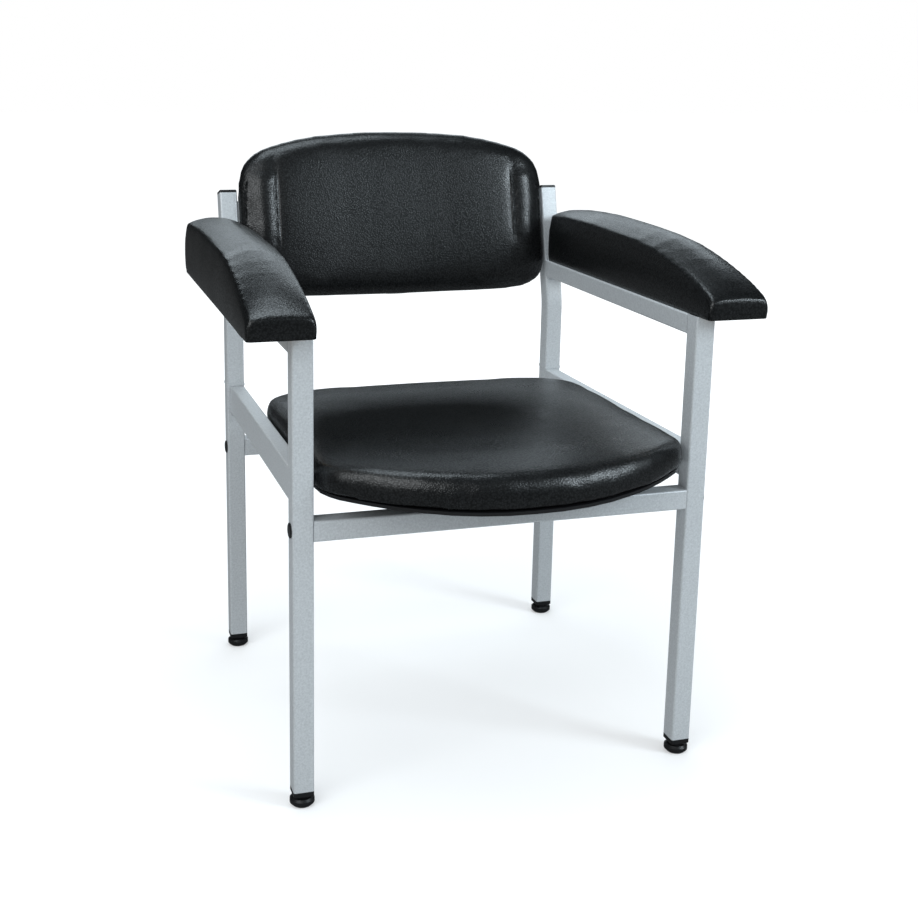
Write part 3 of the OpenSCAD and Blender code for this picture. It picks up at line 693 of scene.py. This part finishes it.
def makeFloor(look):
    half = look["floorSize"] / 2
    corners = [(-half, -half, 0), (half, -half, 0), (half, half, 0), (-half, half, 0)]
    mesh = bpy.data.meshes.new("floor")
    mesh.from_pydata(corners, [], [(0, 1, 2, 3)])
    floor = bpy.data.objects.new("floor", mesh)
    bpy.context.scene.collection.objects.link(floor)
    material, nodes, links, shader = newMaterial("floor_look")
    shader.inputs["Roughness"].default_value = look["floorRoughness"]
    shader.inputs["Specular IOR Level"].default_value = 0.0
    shader.inputs["Emission Color"].default_value = (1, 1, 1, 1)
    path = nodes.new("ShaderNodeLightPath")
    glossy = path.outputs["Is Glossy Ray"]
    colour = mixColours(nodes, links, glossy, look["floorColour"], look["floorReflected"])
    links.new(colour, shader.inputs["Base Color"])
    distance = nodes.new("ShaderNodeVectorMath")
    distance.operation = "LENGTH"
    links.new(objectCoords(nodes), distance.inputs[0])
    away = distance.outputs["Value"]
    glow = mapRange(nodes, links, away, *look["floorGlow"], *look["floorGlowReach"])
    shown = mathNode(nodes, links, "MULTIPLY", glow, path.outputs["Is Camera Ray"])
    links.new(shown, shader.inputs["Emission Strength"])
    mesh.materials.append(material)


def background(nodes, colour, strength):
    node = nodes.new("ShaderNodeBackground")
    node.inputs["Color"].default_value = (*colour, 1)
    node.inputs["Strength"].default_value = strength
    return node.outputs["Background"]


def mixShaders(nodes, links, factor, first, second):
    mixed = nodes.new("ShaderNodeMixShader")
    links.new(factor, mixed.inputs[0])
    links.new(first, mixed.inputs[1])
    links.new(second, mixed.inputs[2])
    return mixed.outputs[0]


def makeRoom(look):
    world = bpy.data.worlds.new("studio")
    bpy.context.scene.world = world
    world.use_nodes = True
    nodes, links = world.node_tree.nodes, world.node_tree.links
    nodes.clear()
    out = nodes.new("ShaderNodeOutputWorld")
    path = nodes.new("ShaderNodeLightPath")
    soft = background(nodes, look["room"], look["roomDiffuse"])
    gloss = background(nodes, look["room"], look["roomGlossy"])
    white = background(nodes, (1, 1, 1), 1)
    room = mixShaders(nodes, links, path.outputs["Is Glossy Ray"], soft, gloss)
    seen = mixShaders(nodes, links, path.outputs["Is Camera Ray"], room, white)
    links.new(seen, out.inputs["Surface"])


makeFloor(studioLook)
makeRoom(studioLook)
print("floor and room made")


# Five soft lights: sizes in metres, powers in watts
daylight = (0.82, 0.93, 1.0)
paleDaylight = (0.94, 0.98, 1.0)
lights = [
    {
        "name": "top_strip", "colour": daylight, "power": 24,
        "place": (-0.3, 0.1, 2.6), "aim": (0, -0.2, 0.5), "size": (1.8, 0.9),
    },
    {
        "name": "front_softbox", "colour": paleDaylight, "power": 47,
        "place": (-1.9, -1.9, 2.0), "aim": (0, 0, 0.5), "size": (2.4, 1.8),
    },
    {
        "name": "key_softbox", "colour": daylight, "power": 38,
        "place": (1.9, -1.6, 1.6), "aim": (-0.2, 0.2, 0.65), "size": (0.8, 1.0),
    },
    {
        "name": "fill_softbox", "colour": daylight, "power": 7,
        "place": (1.45, -2.35, 1.9), "aim": (0, 0.2, 0.65), "size": (1.1, 0.7),
    },
    {
        "name": "back_panel", "colour": daylight, "power": 28,
        "place": (0.8, 2.9, 2.0), "aim": (0.4, 0, 0.8), "size": (3.6, 1.3),
    },
]


def makeLight(look):
    data = bpy.data.lights.new(look["name"], "AREA")
    data.shape = "RECTANGLE"
    data.size, data.size_y = look["size"]
    data.energy = look["power"]
    data.color = look["colour"]
    light = bpy.data.objects.new(look["name"], data)
    bpy.context.scene.collection.objects.link(light)
    light.location = look["place"]
    aim = Vector(look["aim"]) - Vector(look["place"])
    light.rotation_euler = aim.to_track_quat("-Z", "Y").to_euler()


for look in lights:
    makeLight(look)
bpy.context.scene.view_settings.view_transform = "Standard"
print("lights made")
